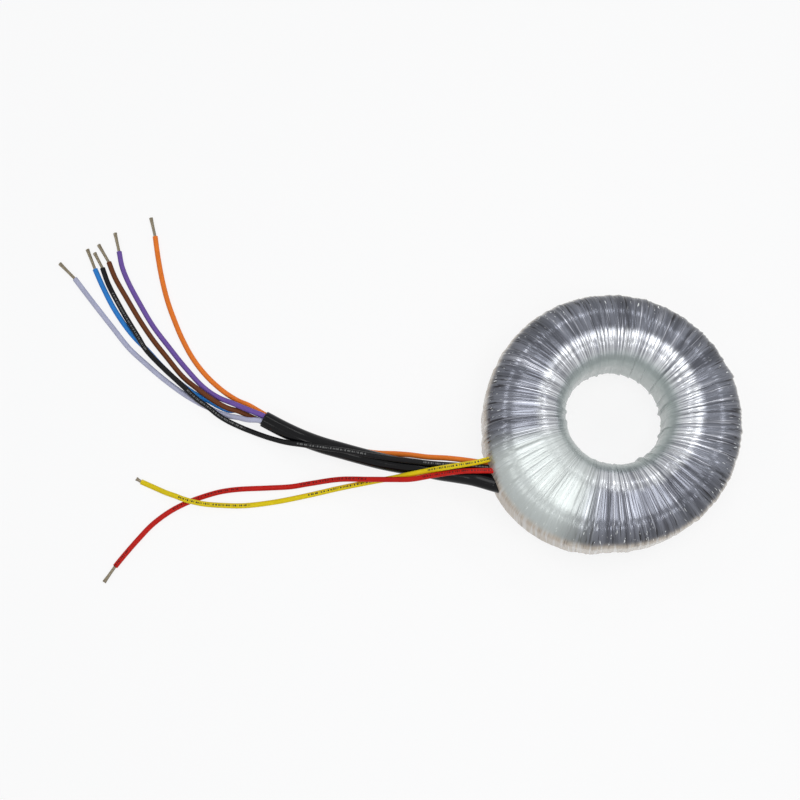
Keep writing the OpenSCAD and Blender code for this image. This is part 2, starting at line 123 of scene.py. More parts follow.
red_route = [
    (0.002, -0.02, 0.0275), (-0.0065, -0.02, 0.027), (-0.0135, -0.0206, 0.0255),
    (-0.0195, -0.0212, 0.023), (-0.027, -0.0219, 0.0193), (-0.034, -0.0215, 0.016),
    (-0.043, -0.0208, 0.012), (-0.055, -0.02, 0.007), (-0.067, -0.021, 0.0025),
    (-0.0745, -0.022, 0.0011), (-0.0835, -0.0225, 0.0011), (-0.0945, -0.023, 0.0011),
    (-0.102, -0.024, 0.0011), (-0.109, -0.026, 0.0011), (-0.1155, -0.0285, 0.0011),
    (-0.122, -0.032, 0.0011), (-0.1285, -0.037, 0.0011), (-0.134, -0.043, 0.0011),
    (-0.139, -0.049, 0.0011), (-0.1425, -0.0535, 0.0011),
]
violet_tip = (-0.148, 0.083, 0.0011)
brown_tip = (-0.1545, 0.078, 0.0011)
blue_tip = (-0.159, 0.076, 0.0011)
grey_tip = (-0.17, 0.07, 0.0011)
orange_tip = (-0.1335, 0.0895, 0.0011)
black_tip = (-0.156, 0.0745, 0.0011)
yellow_tip = (-0.1353, -0.0189, 0.0015)
red_tip = (-0.1465, -0.0595, 0.0011)

def route_frames(route):
    """Unit direction, level direction to the front and upward direction at each point."""
    frames = []
    for i in range(len(route)):
        before, after = route[max(i - 1, 0)], route[min(i + 1, len(route) - 1)]
        along = (Vector(after) - Vector(before)).normalized()
        across = along.cross(Vector((0, 0, -1))).normalized()
        frames.append((along, across, along.cross(across)))
    return frames


# The four primary leads lie two by two in the sleeve, a little forward and low in it.
half_pitch = lead_d / 2 + 0.00002
bundle_back, bundle_up = -0.00015, -0.0001


def in_sleeve(back, up):
    return [Vector(p) - across * (back * half_pitch + bundle_back)
            + above * (up * half_pitch + bundle_up)
            for p, (along, across, above) in zip(sleeve_route, route_frames(sleeve_route))]


def flowing(route, step=0.0008):
    """Points about a step apart on the smooth line through a route's points."""
    points = [Vector(p) + Vector((coil_left, 0, 0)) for p in route]
    points = [2 * points[0] - points[1], *points, 2 * points[-1] - points[-2]]
    line = []
    for a, b, c, d in zip(points, points[1:], points[2:], points[3:]):
        count = max(2, round((c - b).length / step))
        for k in range(count):
            t = k / count
            line.append(b + 0.5 * t * ((c - a) + t * ((2 * a - 5 * b + 4 * c - d)
                        + t * (3 * b - a - 3 * c + d))))
    return [*line, points[-2]]


def under_film(line, depth=0.003):
    """The line with its start drawn back through the film, towards the joints."""
    return [line[0] + (line[0] - line[1]).normalized() * depth, *line]


def put(tree, kind, sockets=None, **settings):
    """Adds a node to a tree, with its settings and with values or links for its sockets."""
    node = tree.nodes.new(kind)
    for name, value in settings.items():
        setattr(node, name, value)
    for socket, value in (sockets or {}).items():
        if isinstance(value, bpy.types.Node):
            value = value.outputs[0]
        if isinstance(value, bpy.types.NodeSocket):
            tree.links.new(value, node.inputs[socket])
        else:
            node.inputs[socket].default_value = value
    return node


def calc(tree, operation, *values, clamp=False):
    """A sum on numbers or fields, as one Math node."""
    return put(tree, "ShaderNodeMath", dict(enumerate(values)),
               operation=operation, use_clamp=clamp).outputs[0]


def shape_tree(name, **inputs):
    """An empty Geometry Nodes tree with named inputs, and those inputs."""
    tree = bpy.data.node_groups.new(name, "GeometryNodeTree")
    for label, kind in {"Geometry": "Geometry", "Material": "Material", **inputs}.items():
        tree.interface.new_socket(label.replace("_", " "), in_out="INPUT",
                                  socket_type="NodeSocket" + kind)
    tree.interface.new_socket("Geometry", in_out="OUTPUT", socket_type="NodeSocketGeometry")
    return tree, tree.nodes.new("NodeGroupInput").outputs


def end_tree(tree, geometry, material):
    """Ends a tree in real geometry, smooth except at its sharp edges, with its material."""
    real = put(tree, "GeometryNodeRealizeInstances", {0: geometry})
    smooth = put(tree, "GeometryNodeSetShadeSmooth", {0: real})
    angle = put(tree, "GeometryNodeInputMeshEdgeAngle")
    sharp = put(tree, "FunctionNodeCompare", {0: angle, 1: 1.0}, operation="GREATER_THAN")
    edged = put(tree, "GeometryNodeSetShadeSmooth",
                {0: smooth, 1: sharp, 2: False}, domain="EDGE")
    painted = put(tree, "GeometryNodeSetMaterial", {0: edged, "Material": material})
    put(tree, "NodeGroupOutput", {0: painted})


def made_by(tree, name, material, start=None, **values):
    """Runs a tree and leaves its result as a plain mesh object with no modifier."""
    source = bpy.data.objects.new(name, start or bpy.data.meshes.new(name))
    bpy.context.scene.collection.objects.link(source)
    modifier = source.modifiers.new("shape", "NODES")
    modifier.node_group = tree
    values = {"Material": material, **{k.replace("_", " "): v for k, v in values.items()}}
    for item in tree.interface.items_tree:
        if item.in_out == "INPUT" and item.name in values:
            modifier[item.identifier] = values[item.name]
    bpy.context.view_layer.update()
    shown = source.evaluated_get(bpy.context.evaluated_depsgraph_get())
    mesh = bpy.data.meshes.new_from_object(shown)
    bpy.data.objects.remove(source)
    mesh.name = name
    piece = bpy.data.objects.new(name, mesh)
    bpy.context.scene.collection.objects.link(piece)
    return piece


def tube_tree(name, capped):
    """A round tube along a curve. It stores its length so far and its way round."""
    tree, given = shape_tree(name, Radius="Float", Sides="Int")
    measure = put(tree, "GeometryNodeSplineParameter")
    path = put(tree, "GeometryNodeStoreNamedAttribute",
               {0: given["Geometry"], "Name": "along", "Value": measure.outputs["Length"]})
    circle = put(tree, "GeometryNodeCurvePrimitiveCircle",
                 {"Resolution": given["Sides"], "Radius": given["Radius"]})
    ring = put(tree, "GeometryNodeStoreNamedAttribute",
               {0: circle, "Name": "around", "Value": measure.outputs["Factor"]})
    tube = put(tree, "GeometryNodeCurveToMesh",
               {"Curve": path, "Profile Curve": ring, "Fill Caps": capped})
    end_tree(tree, tube, given["Material"])
    return tree


def path_curve(name, line):
    """A curve with one straight-sided spline through the points of a line."""
    data = bpy.data.curves.new(name, "CURVE")
    data.dimensions = "3D"
    data.twist_mode = "Z_UP"
    spline = data.splines.new("POLY")
    spline.points.add(len(line) - 1)
    for point, place in zip(spline.points, line):
        point.co = (*place, 1)
    return data


def paint(name, colour, roughness, metallic=0.0):
    """A new material with its shader set to a colour and a gloss."""
    material = bpy.data.materials.new(name)
    material.use_nodes = True
    shader = material.node_tree.nodes["Principled BSDF"]
    shader.inputs["Base Color"].default_value = (*colour, 1)
    shader.inputs["Roughness"].default_value = roughness
    shader.inputs["Metallic"].default_value = metallic
    return material, material.node_tree, shader


def mixed(tree, share, first, second):
    """A colour between two colours or colour sockets."""
    mix = put(tree, "ShaderNodeMix", data_type="RGBA")
    for index, value in ((0, share), (6, first), (7, second)):
        if isinstance(value, bpy.types.NodeSocket):
            tree.links.new(value, mix.inputs[index])
        else:
            mix.inputs[index].default_value = value if index == 0 else (*value, 1)
    return mix.outputs[2]


def grain(tree, scale, detail=2.0, at=None):
    """Noise from 0 to 1 on a piece's own coordinates, or on the given ones."""
    at = at or put(tree, "ShaderNodeTexCoord").outputs["Object"]
    return put(tree, "ShaderNodeTexNoise",
               {"Vector": at, "Scale": scale, "Detail": detail}).outputs["Fac"]


def ramp(tree, value, low, high, to_low=0.0, to_high=1.0):
    return put(tree, "ShaderNodeMapRange", {0: value, 1: low, 2: high, 3: to_low, 4: to_high},
               interpolation_type="SMOOTHSTEP").outputs[0]


def raised(tree, shader, height, depth, strength=1.0):
    """Bumps a shader by a height from 0 to 1 that stands for a depth in metres."""
    bump = put(tree, "ShaderNodeBump",
               {"Height": height, "Distance": depth, "Strength": strength})
    tree.links.new(bump.outputs[0], shader.inputs["Normal"])


def pvc(name, colour, print_colour=None):
    """Extruded PVC: semi-gloss, a little uneven, with a plain dashed print on some."""
    material, tree, shader = paint(name, colour, 0.34)
    shader.inputs["Specular IOR Level"].default_value = 0.15
    tone = mixed(tree, grain(tree, 260, 3), tuple(c * 0.86 for c in colour),
                 tuple(min(1, c * 1.12 + 0.004) for c in colour))
    if print_colour:
        along = put(tree, "ShaderNodeAttribute", attribute_name="along").outputs["Fac"]
        around = put(tree, "ShaderNodeAttribute", attribute_name="around").outputs["Fac"]
        stretch = calc(tree, "FRACT", calc(tree, "DIVIDE", along, 0.052))
        block = calc(tree, "LESS_THAN", stretch, 0.55)
        stroke = put(tree, "ShaderNodeTexNoise",
                     {"W": calc(tree, "MULTIPLY", along, 1700.0), "Scale": 1.0, "Detail": 0.0},
                     noise_dimensions="1D").outputs["Fac"]
        inked = calc(tree, "GREATER_THAN", stroke, 0.5)
        offside = calc(tree, "ABSOLUTE", calc(tree, "SUBTRACT", around, 0.75))
        band = calc(tree, "LESS_THAN", offside, 0.05)
        ink = calc(tree, "MULTIPLY", calc(tree, "MULTIPLY", block, inked), band)
        tone = mixed(tree, ink, tone, print_colour)
    tree.links.new(tone, shader.inputs["Base Color"])
    raised(tree, shader, grain(tree, 900, 2), 0.00004)
    return material


def tinned(name):
    """Copper strands dipped in solder, gone dull and a little brown."""
    material, tree, shader = paint(name, (0.5, 0.42, 0.3), 0.38, 0.85)
    tree.links.new(mixed(tree, grain(tree, 1800, 3), (0.10, 0.075, 0.045), (0.36, 0.32, 0.24)),
                   shader.inputs["Base Color"])
    raised(tree, shader, grain(tree, 3000), 0.00005)
    return material


strand_tree, given = shape_tree("twisted_strands", Start="Vector", Tip="Vector",
                                Radius="Float", Strands="Int", Twist="Float")
run = put(strand_tree, "GeometryNodeCurvePrimitiveLine",
          {"Start": given["Start"], "End": given["Tip"]})
run = put(strand_tree, "GeometryNodeResampleCurve", {"Curve": run, "Count": 28})
strands = put(strand_tree, "GeometryNodeDuplicateElements",
              {"Geometry": run, "Amount": given["Strands"]}, domain="SPLINE")
factor = put(strand_tree, "GeometryNodeSplineParameter").outputs["Factor"]
turn = calc(strand_tree, "ADD", calc(strand_tree, "MULTIPLY", factor, given["Twist"]),
            calc(strand_tree, "DIVIDE", strands.outputs["Duplicate Index"], given["Strands"]))
turn = calc(strand_tree, "MULTIPLY", turn, math.tau)
flare = calc(strand_tree, "MULTIPLY_ADD", calc(strand_tree, "POWER", factor, 3.0), 0.35, 0.62)
lay = calc(strand_tree, "MULTIPLY", given["Radius"], flare)
normal = put(strand_tree, "GeometryNodeInputNormal")
tangent = put(strand_tree, "GeometryNodeInputTangent")
side = put(strand_tree, "ShaderNodeVectorMath", {0: tangent, 1: normal},
           operation="CROSS_PRODUCT")
offset = put(strand_tree, "ShaderNodeVectorMath",
             {0: normal, "Scale": calc(strand_tree, "MULTIPLY", lay,
                                       calc(strand_tree, "COSINE", turn))}, operation="SCALE")
sideways = put(strand_tree, "ShaderNodeVectorMath",
               {0: side, "Scale": calc(strand_tree, "MULTIPLY", lay,
                                       calc(strand_tree, "SINE", turn))}, operation="SCALE")
offset = put(strand_tree, "ShaderNodeVectorMath", {0: offset, 1: sideways}, operation="ADD")
laid = put(strand_tree, "GeometryNodeSetPosition", {0: strands, "Offset": offset})
wire = put(strand_tree, "GeometryNodeCurvePrimitiveCircle",
           {"Resolution": 8, "Radius": calc(strand_tree, "MULTIPLY", given["Radius"], 0.4)})
wires = put(strand_tree, "GeometryNodeCurveToMesh",
            {"Curve": laid, "Profile Curve": wire, "Fill Caps": True})
end_tree(strand_tree, wires, given["Material"])

lead_tree = tube_tree("insulated_lead", True)
bare_metal = tinned("tinned_strands")
black_ink, dark_ink, pale_ink = (0.03, 0.03, 0.02), (0.10, 0.004, 0.003), (0.16, 0.16, 0.155)
leads = {
    "violet": ([*in_sleeve(1, 1), *violet_free], violet_tip, (0.18, 0.10, 0.40), None),
    "brown": ([*in_sleeve(-1, -1), *brown_free], brown_tip, (0.15, 0.042, 0.010), None),
    "blue": ([*in_sleeve(1, -1), *blue_free], blue_tip, (0.03, 0.24, 0.68), None),
    "grey": ([*in_sleeve(-1, 1), *grey_free], grey_tip, (0.50, 0.51, 0.66), None),
    "orange": (orange_route, orange_tip, (0.95, 0.22, 0.025), None),
    "yellow": (yellow_route, yellow_tip, (0.84, 0.64, 0.006), black_ink),
    "black": (black_route, black_tip, (0.003, 0.003, 0.004), pale_ink),
    "red": (red_route, red_tip, (0.58, 0.010, 0.005), dark_ink),
}
for colour, (route, tip, shade, print_colour) in leads.items():
    line = under_film(flowing(route))
    lead = made_by(lead_tree, colour + "_insulation", pvc(colour + "_pvc", shade, print_colour),
                   path_curve(colour, line), Radius=lead_d / 2, Sides=20)
    end = made_by(strand_tree, colour + "_strands", bare_metal, Start=line[-1] * 1.0,
                  Tip=Vector(tip) + Vector((coil_left, 0, 0)), Radius=0.0006, Strands=7,
                  Twist=1.2)
    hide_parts(colour + "_lead")
    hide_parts(colour + "_lead_end")
    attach(lead, "root")
    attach(end, "root")

# The sleeve is thin-walled and glossy, and cut square at its mouth.
sleeve_d, sleeve_wall = 0.0065, 0.00035
sleeve_paint, tree, shader = paint("black_sleeving", (0.004, 0.004, 0.005), 0.16)
shader.inputs["Specular IOR Level"].default_value = 0.16
raised(tree, shader, grain(tree, 140, 3), 0.0004, 0.4)
sleeve_line = under_film(flowing(sleeve_route))
sleeve = made_by(tube_tree("sleeve", False), "primary_sleeving", sleeve_paint,
                 path_curve("sleeve", sleeve_line), Radius=sleeve_d / 2, Sides=40)
wall = sleeve.modifiers.new("wall", "SOLIDIFY")
wall.thickness, wall.offset = sleeve_wall, -1
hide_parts("primary_sleeve")
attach(sleeve, "root")


# ---------------------------------------------------------------- core and windings
# Under the film: a strip-wound steel core between two moulded nylon caps, two primary
# windings of enamelled copper, polyester tape over them, and two secondary windings with
# their joints to the leads, each in a short sleeve. They keep the solids of the model.


def finished(material, *nodes):
    """Gives solids of the model a material."""
    for node in nodes:
        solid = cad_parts[node]
        solid.data.materials.clear()
        solid.data.materials.append(material)


def uneven(name, low, high, roughness, metallic=0.0, scale=300.0, depth=0.00005):
    """A material with a little unevenness in its colour and its surface."""
    material, tree, shader = paint(name, low, roughness, metallic)
    spread = grain(tree, scale, 3)
    tree.links.new(mixed(tree, spread, low, high), shader.inputs["Base Color"])
    raised(tree, shader, spread, depth)
    return material


strip_steel, tree, shader = paint("strip_steel", (0.36, 0.36, 0.38), 0.42, 0.9)
spot = put(tree, "ShaderNodeSeparateXYZ",
           {0: put(tree, "ShaderNodeTexCoord").outputs["Object"]}).outputs
from_axis = calc(tree, "SQRT", calc(tree, "ADD", calc(tree, "MULTIPLY", spot[0], spot[0]),
                                    calc(tree, "MULTIPLY", spot[1], spot[1])))
strip_t = 0.0003
edges = calc(tree, "PINGPONG", from_axis, strip_t / 2)
edges = calc(tree, "DIVIDE", edges, strip_t / 2)
tree.links.new(mixed(tree, edges, (0.12, 0.12, 0.13), (0.46, 0.46, 0.48)),
               shader.inputs["Base Color"])
raised(tree, shader, edges, 0.00005)
finished(strip_steel, "steel_core")
finished(uneven("moulded_nylon", (0.62, 0.58, 0.48), (0.70, 0.66, 0.56), 0.5),
         "upper_core_cap", "lower_core_cap")
finished(uneven("fine_enamelled_copper", (0.42, 0.13, 0.04), (0.62, 0.25, 0.09), 0.3, 0.85,
                1500.0), "primary_winding_1", "primary_winding_2")
finished(uneven("polyester_tape", (0.62, 0.50, 0.14), (0.74, 0.62, 0.22), 0.3),
         "winding_insulation")
finished(uneven("enamelled_copper", (0.50, 0.17, 0.05), (0.70, 0.30, 0.11), 0.26, 0.85),
         "secondary_winding_1", "secondary_winding_2")
finished(uneven("joint_sleeving", (0.50, 0.44, 0.22), (0.60, 0.54, 0.30), 0.45),
         "lead_joints")

# ---------------------------------------------------------------- joint pad
# A strip of soft wool felt, laid on the windings' outer side under the soldered joints, so
# that their ends can't press through to the wire. It is held by the film over it.
coil_middle = 0.01835
pad_seat, pad_h, pad_t = 0.04875, 0.016, 0.0011
pad_from, pad_to = math.radians(194), math.radians(252)
felt_tree, given = shape_tree("felt_strip", Seat_Radius="Float", Height="Float",
                              Thickness="Float", From_Angle="Float", Sweep="Float",
                              Middle="Float", Fuzz="Float", Seed="Float")


def felt(operation, *values):
    return calc(felt_tree, operation, *values)


half_t = felt("MULTIPLY", given["Thickness"], 0.5)
bend = put(felt_tree, "GeometryNodeCurveArc", {
    "Resolution": 90, "Radius": felt("ADD", given["Seat Radius"], half_t),
    "Start Angle": given["From Angle"], "Sweep Angle": given["Sweep"]}, mode="RADIUS")
cut = put(felt_tree, "GeometryNodeCurvePrimitiveQuadrilateral",
          {"Width": given["Thickness"], "Height": given["Height"]}, mode="RECTANGLE")
edged = put(felt_tree, "GeometryNodeFilletCurve",
            {"Curve": cut, "Count": 4, "Radius": felt("MULTIPLY", half_t, 0.9)}, mode="POLY")
edged = put(felt_tree, "GeometryNodeResampleCurve", {"Curve": edged, "Count": 60})
strip = put(felt_tree, "GeometryNodeCurveToMesh",
            {"Curve": bend, "Profile Curve": edged, "Fill Caps": True})
place = put(felt_tree, "GeometryNodeInputPosition")
fuzz = put(felt_tree, "ShaderNodeTexNoise",
           {"Vector": place, "W": given["Seed"], "Scale": 900.0, "Detail": 2.0},
           noise_dimensions="4D").outputs["Fac"]
inward = put(felt_tree, "ShaderNodeVectorMath", {
    0: put(felt_tree, "GeometryNodeInputNormal"),
    "Scale": felt("MULTIPLY", fuzz, felt("MULTIPLY", given["Fuzz"], -1.0))}, operation="SCALE")
strip = put(felt_tree, "GeometryNodeSetPosition", {0: strip, "Offset": inward})
lifted = put(felt_tree, "ShaderNodeCombineXYZ", {2: given["Middle"]})
strip = put(felt_tree, "GeometryNodeTransform", {0: strip, "Translation": lifted})
end_tree(felt_tree, strip, given["Material"])
pad = made_by(felt_tree, "felt_pad",
              uneven("wool_felt", (0.62, 0.58, 0.50), (0.76, 0.72, 0.64), 0.95, 0.0, 1200.0,
                     0.0002),
              Seat_Radius=pad_seat, Height=pad_h, Thickness=pad_t, From_Angle=pad_from,
              Sweep=pad_to - pad_from, Middle=coil_middle, Fuzz=0.00012, Seed=2.0)
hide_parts("joint_pad")
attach(pad, "root")

# ---------------------------------------------------------------- film wrap
# Clear polyester film in many layers, one long strip wound through the hole over its own
# edge. It is stretched flat outside and gathered into folds towards the hole, and it lies
# tight over the pad and the joints, where the leads come out between its turns.
film_turns = 30
film_columns, film_rows = 1320, 71
section_inner, section_outer, section_half = 0.01965, 0.0487, 0.01765
corner_inner, corner_outer, face_slope = 0.0125, 0.0112, math.radians(2.5)
hole_shift, shift_angle = 0.0026, math.radians(55)
fold_depth, joints_bulge = 0.0007, 0.0032
# How closely the folds of each kind follow one another round the coil
broad_folds, middling_folds, fine_folds, crumples = 9.0, 17.0, 38.0, 55.0
joints_from, joints_to = 186.0, 268.0
# The section is a trapezium with rounded corners, highest next to the hole, where the
# turns pile up. Its face meets the hole's wall and the outer wall at these heights.
face_start = (section_inner + corner_inner * (1 + math.sin(face_slope)),
              section_half - corner_inner * (1 - math.cos(face_slope)))
height_inner = face_start[1] + math.tan(face_slope) * (face_start[0] - section_inner)
height_outer = face_start[1] - math.tan(face_slope) * (section_outer - face_start[0])

film_tree, given = shape_tree(
    "wound_film", Turns="Float", Columns="Int", Rows="Int", Inner_Radius="Float",
    Outer_Radius="Float", Inner_Height="Float", Outer_Height="Float", Inner_Corner="Float",
    Outer_Corner="Float", Middle="Float", Hole_Shift="Float", Shift_Angle="Float",
    Fold="Float", Bulge="Float", Seed="Float")


def film(operation, *values, clamp=False):
    return calc(film_tree, operation, *values, clamp=clamp)


def film_noise(at, seed, detail=0.0):
    """Noise from 0 to 1 that differs for each seed."""
    return put(film_tree, "ShaderNodeTexNoise",
               {"Vector": at, "W": film("ADD", given["Seed"], seed), "Scale": 1.0,
                "Detail": detail}, noise_dimensions="4D").outputs["Fac"]


def joined(x, y, z):
    return put(film_tree, "ShaderNodeCombineXYZ", {0: x, 1: y, 2: z}).outputs[0]


grid = put(film_tree, "GeometryNodeMeshGrid", {
    "Size X": 1.0, "Size Y": 1.0,
    "Vertices X": film("ADD", given["Columns"], 1.0),
    "Vertices Y": film("ADD", given["Rows"], 1.0)})
spot = put(film_tree, "ShaderNodeSeparateXYZ",
           {0: put(film_tree, "GeometryNodeInputPosition")}).outputs
u = film("ADD", spot[0], 0.5)
v = film("ADD", spot[1], 0.5)

# The section's curve runs from the outer wall over the top and down through the hole.
low_inner = film("MULTIPLY", given["Inner Height"], -1.0)
low_outer = film("MULTIPLY", given["Outer Height"], -1.0)
box = put(film_tree, "GeometryNodeCurvePrimitiveQuadrilateral", {
    "Point 1": joined(given["Outer Radius"], given["Outer Height"], 0.0),
    "Point 2": joined(given["Inner Radius"], given["Inner Height"], 0.0),
    "Point 3": joined(given["Inner Radius"], low_inner, 0.0),
    "Point 4": joined(given["Outer Radius"], low_outer, 0.0)}, mode="POINTS")
middle_r = film("MULTIPLY", film("ADD", given["Outer Radius"], given["Inner Radius"]), 0.5)
box_spot = put(film_tree, "ShaderNodeSeparateXYZ",
               {0: put(film_tree, "GeometryNodeInputPosition")}).outputs
corner = put(film_tree, "GeometryNodeSwitch",
             {"Switch": film("LESS_THAN", box_spot[0], middle_r),
              "False": given["Outer Corner"], "True": given["Inner Corner"]},
             input_type="FLOAT")
rounded = put(film_tree, "GeometryNodeFilletCurve",
              {"Curve": box, "Count": 20, "Radius": corner}, mode="POLY")
place = film("FRACT", film("SUBTRACT", 1.64, v))
sample = put(film_tree, "GeometryNodeSampleCurve",
             {"Curves": rounded, "Factor": place}, mode="FACTOR").outputs
at = put(film_tree, "ShaderNodeSeparateXYZ", {0: sample["Position"]}).outputs
tangent = put(film_tree, "ShaderNodeSeparateXYZ", {0: sample["Tangent"]}).outputs
out_r = tangent[1]
out_z = film("MULTIPLY", tangent[0], -1.0)
outside = ramp(film_tree, out_r, 0.0, 0.6)
hole_side = ramp(film_tree, out_r, 0.0, -0.9)
upper = ramp(film_tree, out_z, -0.3, 0.5)

# Where a line of the strip lies round the coil: it moves on by one turn as it goes round.
line_turn = film("MULTIPLY", u, math.tau)
turn = film("ADD", line_turn, film("DIVIDE", film("MULTIPLY", v, math.tau), given["Turns"]))
degrees = film("FRACT", film("DIVIDE", turn, math.tau))
degrees = film("MULTIPLY", degrees, 360.0)


def round_coil(scale, length):
    """Coordinates that are the same again after one way round, stretched along the strip."""
    return joined(film("MULTIPLY", film("COSINE", line_turn), scale),
                  film("MULTIPLY", film("SINE", line_turn), scale),
                  film("MULTIPLY", v, length))


def ridged(value, sharp=1.0):
    """1 on a sharp ridge and 0 between ridges, from noise."""
    away = film("ABSOLUTE", film("MULTIPLY_ADD", value, 4.0, -2.0), clamp=False)
    return film("POWER", film("SUBTRACT", 1.0, film("MINIMUM", away, 1.0)), sharp)


# Edges of the strip: uneven steps, some of them standing well out
warp = film_noise(round_coil(4.0, 0.5), 1.0)
phase = film("ADD", film("MULTIPLY", u, given["Turns"]), film("MULTIPLY_ADD", warp, 2.0, -1.0))
turn_number = film("FLOORED_MODULO", film("FLOOR", phase), given["Turns"])
across_strip = film("FRACT", phase)
standing = put(film_tree, "FunctionNodeRandomValue",
               {2: 0.15, 3: 1.0, "ID": turn_number, "Seed": 5}, data_type="FLOAT").outputs[1]
standing = film("POWER", standing, 2.0)
lip = film("POWER", film("SUBTRACT", 1.0, across_strip), 4.5)
lip = film("MULTIPLY", film("MULTIPLY", lip, standing),
           ramp(film_tree, across_strip, 0.0, 0.05))

# Folds along the strip, from broad ones to fine ones, and crumples at the outer shoulder
broad = film_noise(round_coil(broad_folds, 1.3), 2.0, 1.0)
middling = ridged(film_noise(round_coil(middling_folds, 2.2), 3.0), 0.8)
fine = ridged(film_noise(round_coil(fine_folds, 4.0), 4.0), 0.8)
crumple = ridged(film_noise(round_coil(crumples, 24.0), 5.0))
shoulder = film("MULTIPLY", ramp(film_tree, out_r, 0.25, 0.7), ramp(film_tree, out_r, 1.0, 0.8))
shoulder = film("MULTIPLY", shoulder, upper)

# The joints' sector is pulled smooth.
sector = film("MULTIPLY", ramp(film_tree, degrees, joints_from, 204.0),
              ramp(film_tree, degrees, 262.0, 236.0))
loose = film("SUBTRACT", 1.0, film("MULTIPLY", sector, 0.6))
height = film("MULTIPLY", broad, 0.75)
height = film("ADD", height, film("MULTIPLY", middling, film("MULTIPLY_ADD", hole_side, -0.25,
                                                             0.45)))
height = film("ADD", height, film("MULTIPLY", fine, film("MULTIPLY_ADD", outside, 0.12, 0.12)))
height = film("ADD", height, film("MULTIPLY", film("MULTIPLY", crumple, shoulder), 0.3))
height = film("MULTIPLY", height, loose)
height = film("ADD", height, film("MULTIPLY", lip, film("MULTIPLY_ADD", sector, -0.8, 1.1)))
height = film("ADD", height, film("MULTIPLY", film("MULTIPLY", lip, hole_side), 0.7))
crease = film("MULTIPLY", height, 0.7, clamp=True)

# Under the coil its weight presses the folds to one level.
pressed = ramp(film_tree, out_z, -0.9, -0.995)
level = film("MULTIPLY", height, film("SUBTRACT", 1.0, pressed))
level = film("ADD", level, pressed)
push = film("MULTIPLY", level, given["Fold"])

# The joints push the film out at the side, as a long low bulge.
bulge_run = film("DIVIDE", film("SUBTRACT", degrees, joints_from),
                 joints_to - joints_from, clamp=True)
bulge = film("POWER", film("MAXIMUM", film("SINE", film("MULTIPLY", bulge_run, math.pi)), 0.0),
             0.8)
flatter = film("SQRT", film("MAXIMUM", film("SUBTRACT", 1.0, film("POWER", film(
    "ABSOLUTE", out_z), 2.0)), 0.0))
bulge = film("MULTIPLY", film("MULTIPLY", bulge, flatter), given["Bulge"])
bulge = film("MULTIPLY", bulge, film("GREATER_THAN", out_r, 0.0))

# The hole's wall and corner are round an axis of their own, off the coil's middle.
shift = film("MULTIPLY", given["Hole Shift"], ramp(film_tree, film("SUBTRACT", at[0], film(
    "ADD", given["Inner Radius"], given["Inner Corner"])), 0.008, 0.0))
off = film("SUBTRACT", turn, given["Shift Angle"])
sideways = film("MULTIPLY", shift, film("SINE", off))
radius = film("ADD", film("MULTIPLY", shift, film("COSINE", off)), film("SQRT", film(
    "SUBTRACT", film("MULTIPLY", at[0], at[0]), film("MULTIPLY", sideways, sideways))))
radius = film("ADD", radius, film("MULTIPLY_ADD", push, out_r, bulge))
lift = film("ADD", film("ADD", given["Middle"], at[1]), film("MULTIPLY", push, out_z))
place = joined(film("MULTIPLY", radius, film("COSINE", turn)),
               film("MULTIPLY", radius, film("SINE", turn)), lift)
wound = put(film_tree, "GeometryNodeStoreNamedAttribute",
            {0: grid, "Name": "wound", "Value": round_coil(1.0, 1.0)},
            data_type="FLOAT_VECTOR")
# The fold height is kept as 'crease' for the painted shade in the folds' valleys.
wound = put(film_tree, "GeometryNodeStoreNamedAttribute",
            {0: wound, "Name": "crease", "Value": crease})
# Mask of the strip edges, for the painted shade along them.
edge = film("MULTIPLY", ramp(film_tree, across_strip, 0.92, 0.98), film("POWER", standing, 0.5))
wound = put(film_tree, "GeometryNodeStoreNamedAttribute",
            {0: wound, "Name": "edge", "Value": edge})
wound = put(film_tree, "GeometryNodeStoreNamedAttribute",
            {0: wound, "Name": "facing", "Value": joined(out_r, out_z, sector)},
            data_type="FLOAT_VECTOR")
wound = put(film_tree, "GeometryNodeSetPosition", {0: wound, "Position": place})
wound = put(film_tree, "GeometryNodeMergeByDistance", {0: wound, "Distance": 0.000002})
end_tree(film_tree, wound, given["Material"])

film_paint, tree, shader = paint("wrap_film", (0.4, 0.42, 0.46), 0.2, 0.75)
strip = put(tree, "ShaderNodeAttribute", attribute_name="wound").outputs["Vector"]
depth = put(tree, "ShaderNodeAttribute", attribute_name="crease").outputs["Fac"]
edge = put(tree, "ShaderNodeAttribute", attribute_name="edge").outputs["Fac"]
facing = put(tree, "ShaderNodeSeparateXYZ", {0: put(
    tree, "ShaderNodeAttribute", attribute_name="facing").outputs["Vector"]}).outputs


def streaked(across, along, detail=2.0):
    """Noise drawn out along the strip."""
    at = put(tree, "ShaderNodeMapping", {0: strip, "Scale": (across, across, along)})
    return put(tree, "ShaderNodeTexNoise",
               {"Vector": at, "Scale": 1.0, "Detail": detail}).outputs["Fac"]


